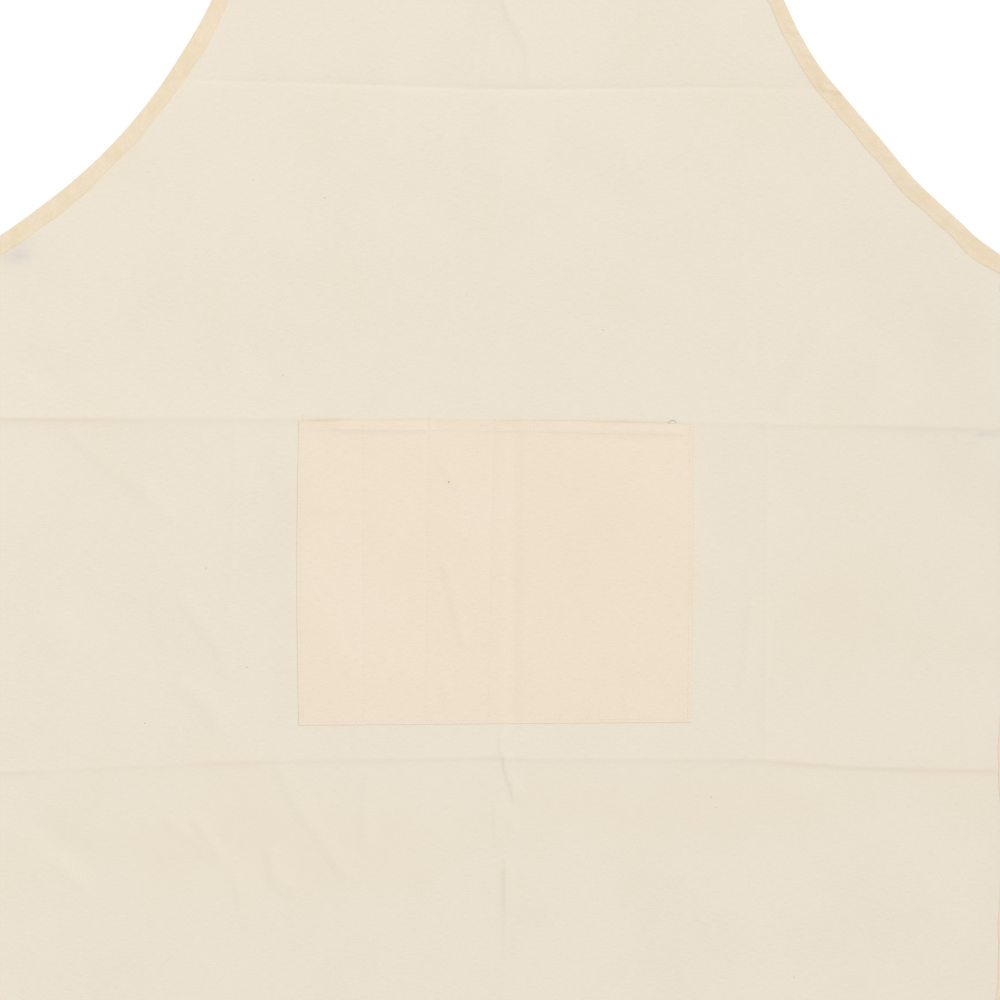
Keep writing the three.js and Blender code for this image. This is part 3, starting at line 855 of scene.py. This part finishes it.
# Thread is a little paler than the cloth; the needle pits beside it are beads of a darker tone, painted shade
# of the holes, so a seam reads as fine dots
thread = speckled("unbleached_cotton_thread", "#E8DBC7", "#F2E9DB", TWIST_SIZE, THREAD_ROUGHNESS)
pit_shade = speckled("shaded_needle_pit", "#E2D4BD", "#EADDC9", TWIST_SIZE, DULL_ROUGHNESS)


def even_points(line, spacing):
    """Points along a line of corners, evenly spaced by about spacing."""
    line = np.asarray(line, float)
    run = run_along(line)
    places = np.linspace(0, run[-1], max(round(run[-1] / spacing), 1) + 1)
    return np.column_stack([np.interp(places, run, part) for part in line.T])


def sew(name, seams):
    """Stitches along seams, each a line of points on the face of a cloth, with beads of painted shade at the
    pits.
    """
    made = []
    for piece, material, size in (("stitches", thread, STITCH_SIZE), ("pits", pit_shade, PIT_SIZE)):
        places, along = [], []
        for seam in seams:
            ends = even_points(seam, STITCH_PITCH)
            middles = (ends[1:] + ends[:-1]) / 2
            places.append(middles if piece == "stitches" else ends[1:])
            along.append(ends[1:] - ends[:-1])
        places, along = np.vstack(places), np.vstack(along)
        along /= np.linalg.norm(along, axis=1)[:, None]
        along[:, :2] += STITCH_SWAY * dice.standard_normal((len(along), 2))
        along /= np.linalg.norm(along, axis=1)[:, None]
        sizes = size * (1 + STITCH_SPREAD * dice.standard_normal((len(places), 3)))
        row = joined_copies(f"{name}_{piece}", grain, places, along, sizes)
        add_to_part(row, material)
        made.append(row)
    return made


def pocket_face(x, y):
    """Height of what the pocket's seams run over: its outer face, and the panel beyond its mouth."""
    _, from_mouth, _, _ = pocket_frame(x, y)
    outer = pocket_low(x, y) + pocket_gap(x, y) + POCKET_CLOTH / 2
    return np.where(from_mouth > 0, outer, panel_face(x, y))


def panel_back(x, y):
    """Height of the panel's underside."""
    return panel_level(x, y) - CALICO_THICKNESS / 2


seam_shares = np.linspace(0, 1, SEAM_STEPS)
pocket_seams = []
for seam, past in enumerate(PAST_MOUTH):
    aside = {0: EDGE_SEAM, len(PAST_MOUTH) - 1: -EDGE_SEAM}.get(seam, 0)
    upright_x = seam_x(seam, seam_shares) + aside
    low_y, high_y = bottom_y(upright_x[0]) + EDGE_SEAM, mouth_y(upright_x[-1]) + past
    pocket_seams.append(np.column_stack([upright_x, low_y + (high_y - low_y) * seam_shares]))
    for x, y, back in ((upright_x[0], low_y, TACK_LENGTH), (upright_x[-1], high_y, -TACK_LENGTH)):
        pocket_seams.append([(x + TACK_ASIDE, y), (x + TACK_ASIDE, y + back)])
seam_along = np.linspace(SEAM_TOP_X[0] + EDGE_SEAM, SEAM_TOP_X[-1] - EDGE_SEAM, SEAM_STEPS)
pocket_seams.append(np.column_stack([seam_along, bottom_y(seam_along) + EDGE_SEAM]))
pocket_seams.append(np.column_stack([seam_along, mouth_y(seam_along) - np.linspace(*HEM_SEAM, SEAM_STEPS)]))
sewn_rows = []
for seam in pocket_seams:
    seam_points = even_points(seam, STITCH_PITCH / 2)
    sewn_rows += [np.column_stack([seam_points, face(*seam_points.T)]) for face in (pocket_face, panel_back)]
pocket_sewing = sew("pocket", sewn_rows)

# One end of thread stands loose at the mouth: its curl, and its height above the panel
LOOSE_THREAD = [(110.3, -114.8), (111, -112.4), (112.8, -111.3), (114.8, -111.6), (115.8, -113.4)]
LOOSE_RISE = [0.6, 0.5, 0.4, 0.3, 0.25]
THREAD_RADIUS = 0.16
bpy.ops.object.select_all(action="DESELECT")
bpy.ops.curve.primitive_nurbs_path_add()
loose_end = bpy.context.object
loose_end.name = "loose_thread"
for point, (x, y), rise in zip(loose_end.data.splines[0].points, LOOSE_THREAD, LOOSE_RISE):
    point.co = (x * MM, y * MM, (panel_face(x, y) + rise) * MM, 1)
loose_end.data.bevel_depth = THREAD_RADIUS * MM
loose_end.data.use_fill_caps = True
bpy.ops.object.convert(target="MESH")
# Tan thread is dark enough to stand out against the panel
tan_thread = speckled("tan_cotton_thread", "#D0BA94", "#E1CDAA", TWIST_SIZE, THREAD_ROUGHNESS)
add_to_part(loose_end, tan_thread)

POCKET_FLECKS = [(-31.9, -152.1, 1)]
pocket_flecks = strew_flecks("pocket_fleck", POCKET_FLECKS, pocket_face)
add_to_part(pocket, warm_calico, "pocket")


# Bindings
# Double-fold bias tape, a strip of fine cotton cut 40 mm wide on the slant, its edges turned in and the
# whole folded again over the raw edge of the apron. It is sewn through all layers near its inner lip.
TAPE_WIDTH = 10
TAPE_CLOTH = 0.05
LAYER_GAP = 0.015
ON_PANEL = CALICO_THICKNESS / 2 + LAYER_GAP  # half the space between the tape's two leaves
SEWN_SHUT = LAYER_GAP / 2
TURNED_IN = 6.5
TAPE_SPACING = 3
ARMHOLE_SPACING = 1.2
TRIM_REACH = 25  # an end that is cut on the slant swings its rows over this length
TAPE_RIPPLE = 0.18  # its width changes by this, in waves of these lengths
RIPPLE_WAVES = (23, 37)
# The armhole tapes are folded wider in places: Y along the armhole, and how much is added to the width
TAPE_WIDER = {
    LEFT: [
        (0.7, 0), (5, 0.9), (14, 1.6), (22, 1.3), (34, 1.8), (46, 1), (59, 0),
        (72, 0.6), (87, 0.3), (102, 0.2), (118, 1), (132, 1.4), (148, 0.8), (175, 0),
    ],
    RIGHT: [
        (-9.8, 0), (-5, 0.8), (2, 2.4), (9, 1.5), (20, 1.1), (32, 0.8), (45, 2.1), (57, 0.5),
        (71, 1.9), (85, 0.8), (98, 1.4), (111, 0.8), (124, 0.65), (137, 0.3), (160, 0),
    ],
}
BIND_SEAM = 7.2  # from the fold to the stitches
SEAM_REACH = 1.3  # they draw the tape down within this distance
LEAF_PUFF = 0.2  # a leaf stands this far off the cloth, apart from its seam and lip
PUCKER_WAVES = (8.5, 13, 21)  # and puckers on the slant, as bias tape does
PUCKER_SLANT = 0.8
PUFF_START = 2  # from the fold, over which it comes off the cloth
# Rows of the mesh round the fold, round a lip, and at shares of a leaf's face and of what is turned in
FOLD_BENDS = np.linspace(0, math.pi / 2, 5)
LIP_BENDS = np.linspace(math.pi, 0, 6)
FACE_SHARES = np.linspace(0, 1, 11)[1:-1]
TURN_SHARES = np.linspace(0, 1, 7)[1:]
BINDING_GAP = 0.3  # between two bindings that meet


def right_of(line):
    """Unit vectors to the right of the way along a line."""
    way = np.gradient(line, axis=0)
    way /= np.linalg.norm(way, axis=1)[:, None]
    return np.column_stack([way[:, 1], -way[:, 0]])


def swung_across(line, start_cut, end_cut):
    """Vectors across a tape, to the right of the way along it, that swing round to the cut at a trimmed
    end. They are longer there, so that each still reaches from one side of the tape to the other."""
    run = run_along(line)
    across = right_of(line)
    for cut, from_end, end in ((start_cut, run, 0), (end_cut, run[-1] - run, -1)):
        if cut is not None:
            slant = np.array(cut) / np.dot(cut, across[end]) - across[end]
            across = across + slant * np.clip(1 - from_end / TRIM_REACH, 0, 1)[:, None]
    return across


def standing_off(inset, run):
    """How far a leaf of the tape stands off the cloth, at insets from its fold and lengths along it."""
    drawn_down = np.exp(-(((inset - BIND_SEAM) / SEAM_REACH) ** 2))
    runs_out = eased(inset, 0, PUFF_START) * (1 - eased(inset, BIND_SEAM, TAPE_WIDTH))
    slanting = run[:, None] + PUCKER_SLANT * inset
    puckers = sum(np.sin(2 * math.pi * slanting / wave) for wave in PUCKER_WAVES) / len(PUCKER_WAVES)
    return LEAF_PUFF * (1 + puckers) * (1 - drawn_down) * runs_out


def tape_section(opening, run):
    """Insets from the fold and heights across folded tape, a row for each opening between its leaves and
    length along it, from the lower turned-in edge round the lower lip, the fold and the upper lip to the
    other edge."""
    opening = np.asarray(opening)[:, None]
    inner = opening + TAPE_CLOTH / 2
    lip = (TAPE_CLOTH + LAYER_GAP) / 2
    outer = inner + 2 * lip
    fold = outer + TAPE_CLOTH / 2
    lip_start = TAPE_WIDTH - TAPE_CLOTH / 2 - lip
    flat = np.zeros_like(opening)
    inset = [
        fold - outer * np.cos(FOLD_BENDS),
        fold + (lip_start - fold) * FACE_SHARES,
        lip_start + lip * np.sin(LIP_BENDS) + flat,
        lip_start - TURNED_IN * TURN_SHARES + flat,
    ]
    height = [
        outer * np.sin(FOLD_BENDS),
        outer + np.zeros_like(FACE_SHARES),
        inner + lip - lip * np.cos(LIP_BENDS),
        inner + np.zeros_like(TURN_SHARES),
    ]
    inset = np.hstack(inset)
    height = np.hstack(height) + standing_off(inset, run)
    height[:, 0] = 0
    return np.hstack([inset[:, :0:-1], inset]), np.hstack([-height[:, :0:-1], height])


def wider_by(edge):
    """How much wider tape is folded at points of an edge, which is nothing away from the armholes."""
    left, right = (smooth_curve(TAPE_WIDER[side], CURVE_STEPS).T for side in (LEFT, RIGHT))
    x, y = edge.T
    return np.where(x < 0, np.interp(y, *left), np.interp(y, *right))


def fold_tape(name, edge, opening, level, start_cut=None, end_cut=None):
    """Tape folded along evenly spaced points of an edge, with its lips to the right. opening is half the
    space between its leaves at each point, and level the height of its middle, also as a function of X
    and Y. A cut is the direction in which an end is trimmed. Gives the tape and its seam on both faces."""
    run = run_along(edge)
    across = swung_across(edge, start_cut, end_cut)
    inset, height = tape_section(opening, run)
    ripple = TAPE_RIPPLE * sum(np.sin(2 * math.pi * run / wave) for wave in RIPPLE_WAVES)
    stretch = 1 + (ripple + wider_by(edge))[:, None] / TAPE_WIDTH
    inset = inset * stretch
    drawn = np.hypot(np.diff(inset, axis=1), np.diff(height, axis=1))
    flat_across = np.hstack([np.zeros((len(run), 1)), np.cumsum(drawn, axis=1)])

    def place(column, row):
        reach = inset[row, column]
        x, y = edge[row].T + across[row].T * reach
        middle = level(x, y) if callable(level) else level[row]
        return x, y, middle + height[row, column], flat_across[row, column], run[row]

    tape = lay_cloth(name, inset.shape[1] - 1, len(edge) - 1, place)
    thicken(tape, TAPE_CLOTH)
    seam = edge + across * BIND_SEAM * stretch
    middle = level(*seam.T) if callable(level) else level
    face = opening + 2 * TAPE_CLOTH + LAYER_GAP
    return tape, [np.column_stack([seam, middle + side * face]) for side in (1, -1)]


# Bias tape is a yellower cotton than calico, with its yarns on the slant and a short mottle
TAPE_MOTTLE = 14
bias_tape, _ = woven_cotton(
    "bias_cotton_tape", "#E4D4BA", "#E8D8BE", "#EBDBC2", "#FDFAF4", math.pi / 4, TAPE_MOTTLE
)

# The bib's packing fold also shows on the armhole tape: wrinkles as for the panel
TAPE_WRINKLES = [
    ([(208, 103.4), (215, 102.4), (226, 100)], 0.85, 1, 3.2),
    ([(210, 105), (222, 105.2)], -0.6, 1.5, 1.5),
    ([(-224, 108.6), (-204, 112)], 0.32, 1.4, 4),
]


def bound_level(x, y):
    """Height of the middle of a bound edge."""
    return panel_level(x, y) + wrinkle_height(TAPE_WRINKLES, x, y)


left_edge, right_edge = armholes[LEFT][::-1], armholes[RIGHT]
CORNER_STEPS = 24
SIDE_STEPS = 120
END_STEPS = 20  # points of an armhole whose slope is taken at the waist
corner_turns = np.linspace(0, math.pi / 2, CORNER_STEPS)
corner = CORNER_RADIUS * np.column_stack([np.cos(corner_turns) - 1, 1 - np.sin(corner_turns)])
skirt_sides = {}
for side in (LEFT, RIGHT):
    slope = np.polyfit(*armholes[side][-END_STEPS:].T, 1)[0]
    top = WAIST_CORNER_Y[side] - (TAPE_WIDTH + BINDING_GAP) * math.hypot(1, slope)
    side_y = np.linspace(top, HEM_Y + CORNER_RADIUS, SIDE_STEPS)
    straight = np.column_stack([edge_x(side, side_y), side_y])
    skirt_sides[side] = np.vstack([straight[:-1], (side * HALF_WIDTH, HEM_Y) + corner * (side, 1)])
skirt_edge = np.vstack([skirt_sides[RIGHT], skirt_sides[LEFT][::-1]])
bib_corner = BIB_HALF_WIDTH - TAPE_WIDTH - 2 * BINDING_GAP
bib_edge = [(-bib_corner, BIB_Y), (bib_corner, BIB_Y)]
for name, node, line, spacing, start_cut, end_cut in (
    ("left_armhole", "armhole_binding_left", left_edge, ARMHOLE_SPACING, (0, -1), (1, 0)),
    ("right_armhole", "armhole_binding_right", right_edge, ARMHOLE_SPACING, (-1, 0), (0, -1)),
    ("bib", "bib_binding", bib_edge, TAPE_SPACING, None, None),
    ("skirt", "skirt_binding", skirt_edge, TAPE_SPACING, None, None),
):
    edge = even_points(line, spacing)
    opening = np.full(len(edge), ON_PANEL)
    tape, seams = fold_tape(f"{name}_tape", edge, opening, bound_level, start_cut, end_cut)
    add_to_part(tape, bias_tape, node)
    sew(name, seams)


# Neck strap
# The same tape runs on from one armhole to the other as a loop for the neck, folded and sewn shut. It lies
# flat on the table above the bib.
STRAP_HALF_WIDTH = 127
STRAP_START_Y = 327.2
STRAP_RISE = 224.8
STRAP_STEPS = 300
STRAP_CLOSE = 15  # the leaves come together over this length
STRAP_SETTLE = 30  # and the tape comes down to the table over this
EDGE_LEVEL = REST_LEVEL + EDGE_LIFT
SHUT_LEVEL = SEWN_SHUT + 2 * TAPE_CLOTH + LAYER_GAP + 2 * LEAF_PUFF + STITCH_SIZE[2]


def off_the_apron(run):
    """Opening between the leaves of tape, and its level, at lengths from where it leaves the apron."""
    opening = ON_PANEL + (SEWN_SHUT - ON_PANEL) * eased(run, 0, STRAP_CLOSE)
    level = EDGE_LEVEL + (SHUT_LEVEL - EDGE_LEVEL) * eased(run, 0, STRAP_SETTLE)
    return opening, level


strap_turns = np.linspace(math.pi, 0, STRAP_STEPS)
strap_arch = [STRAP_HALF_WIDTH * np.cos(strap_turns), STRAP_START_Y + STRAP_RISE * np.sin(strap_turns)]
strap_line = even_points(np.column_stack(strap_arch), TAPE_SPACING)
strap_run = run_along(strap_line)
from_end = np.minimum(strap_run, strap_run[-1] - strap_run)
strap, strap_seams = fold_tape(
    "neck_strap_tape",
    strap_line - right_of(strap_line) * TAPE_WIDTH / 2,
    *off_the_apron(from_end),
    (1, 0),
    (-1, 0),
)
add_to_part(strap, bias_tape, "neck_strap")
sew("neck_strap", strap_seams)


# Waist ties
# Each armhole tape also runs on past the waist as a tie, folded and sewn shut, 640 mm long. They lie loose
# on the table beside the skirt, and their far ends are turned in and sewn across.
TIE_ROUTES = {
    LEFT: [
        (-335.3, -5.3), (-352, -16.5), (-368, -29), (-382, -47), (-391, -71), (-394, -101), (-391, -138),
        (-385, -177), (-381, -217), (-381, -257), (-386, -297), (-393, -337), (-399, -377), (-401, -417),
        (-398, -457), (-391, -497), (-385, -537), (-384, -577), (-389, -617),
    ],
    RIGHT: [
        (335.3, -16), (352, -27.5), (369, -41), (384, -59), (393, -83), (395, -113), (390, -149),
        (384, -187), (381, -227), (384, -267), (392, -307), (400, -347), (403, -387), (400, -427),
        (392, -467), (386, -507), (386, -547), (392, -587), (400, -626),
    ],
}
TIE_END = 9  # turned in at the far end
TURN_LENGTH = 2  # over which the turned-in end thickens the tie
CROSS_SEAM = 6  # from the far end to the stitches across it
CROSS_MARGIN = 1.5
CROSS_POINTS = 9
TIE_NAMES = {LEFT: "left", RIGHT: "right"}

for side, route in TIE_ROUTES.items():
    line = even_points(smooth_curve(route, CURVE_STEPS), TAPE_SPACING)
    run = run_along(line)
    length = run[-1]
    turned_end = eased(run, length - TIE_END - TURN_LENGTH / 2, length - TIE_END + TURN_LENGTH / 2)
    opening, level = (part + TAPE_CLOTH / 2 * turned_end for part in off_the_apron(run))
    laid = slice(None, None, side)  # the left tie's lips face the apron too, so it is laid from its far end
    heading = line[laid]
    cuts = [(0, -1), None][::side]
    tie, tie_seams = fold_tape(
        f"{TIE_NAMES[side]}_tie_tape",
        heading - swung_across(heading, *cuts) * TAPE_WIDTH / 2,
        opening[laid],
        level[laid],
        *cuts,
    )
    add_to_part(tie, bias_tape, f"waist_tie_{TIE_NAMES[side]}")
    end = np.argmin(np.abs(run - (length - CROSS_SEAM)))
    reach = right_of(line)[end] * (TAPE_WIDTH / 2 - CROSS_MARGIN)
    cross_points = (line[end] + np.linspace(-1, 1, CROSS_POINTS)[:, None] * reach) * MM
    bpy.context.view_layer.update()
    for side_up in (1, -1):
        faces = [tie.ray_cast((*point, side_up), (0, 0, -side_up))[1] for point in cross_points]
        tie_seams.append(np.array(faces) / MM)
    sew(f"{TIE_NAMES[side]}_tie", tie_seams)


# Table and light
# A white table top under soft studio light, sized in metres. The sun-like light stands to the right and
# above, so every raised edge shades the cloth to its left, a softbox past the neck strap lights the bib
# more than the hem, and white walls fill the shade.
SUN_FROM = (0.85, 0.42, 1.1)
SUN_SOFTNESS = 60
SUN_STRENGTH = 1.36
SOFTBOX_AT = (-1.3, 2.3, 2.4)
SOFTBOX_SIZE = 1.4
SOFTBOX_POWER = 21
FILL_STRENGTH = 0.63
TABLE_SIZE = 8
TABLE_ROUGHNESS = 0.8
TABLE_GLOW = 0.3

bpy.ops.object.select_all(action="DESELECT")
bpy.ops.mesh.primitive_plane_add(size=TABLE_SIZE)
table = bpy.context.object
table.name = "table"
# White laminate is matt, and glows as if lit from below, so that it shows as pure white
white_laminate = bpy.data.materials.new("white_laminate")
white_laminate.use_nodes = True
laminate = white_laminate.node_tree.nodes["Principled BSDF"]
laminate.inputs["Base Color"].default_value = linear("#F4F4F4")
laminate.inputs["Roughness"].default_value = TABLE_ROUGHNESS
laminate.inputs["Emission Color"].default_value = linear("#FFFFFF")
laminate.inputs["Emission Strength"].default_value = TABLE_GLOW
table.data.materials.append(white_laminate)


def add_light(kind, place, strength):
    """A light at a place, turned towards the middle of the apron."""
    tilt = math.atan2(math.hypot(*place[:2]), place[2])
    heading = math.atan2(place[0], -place[1])
    bpy.ops.object.light_add(type=kind, location=place, rotation=(tilt, 0, heading))
    light = bpy.context.object.data
    light.energy = strength
    return light


add_light("SUN", SUN_FROM, SUN_STRENGTH).angle = math.radians(SUN_SOFTNESS)
add_light("AREA", SOFTBOX_AT, SOFTBOX_POWER).size = SOFTBOX_SIZE
studio = bpy.data.worlds.new("studio")
studio.use_nodes = True
studio.node_tree.nodes["Background"].inputs["Color"].default_value = linear("#FFFFFF")
studio.node_tree.nodes["Background"].inputs["Strength"].default_value = FILL_STRENGTH
bpy.context.scene.world = studio
bpy.context.scene.view_settings.view_transform = "Standard"
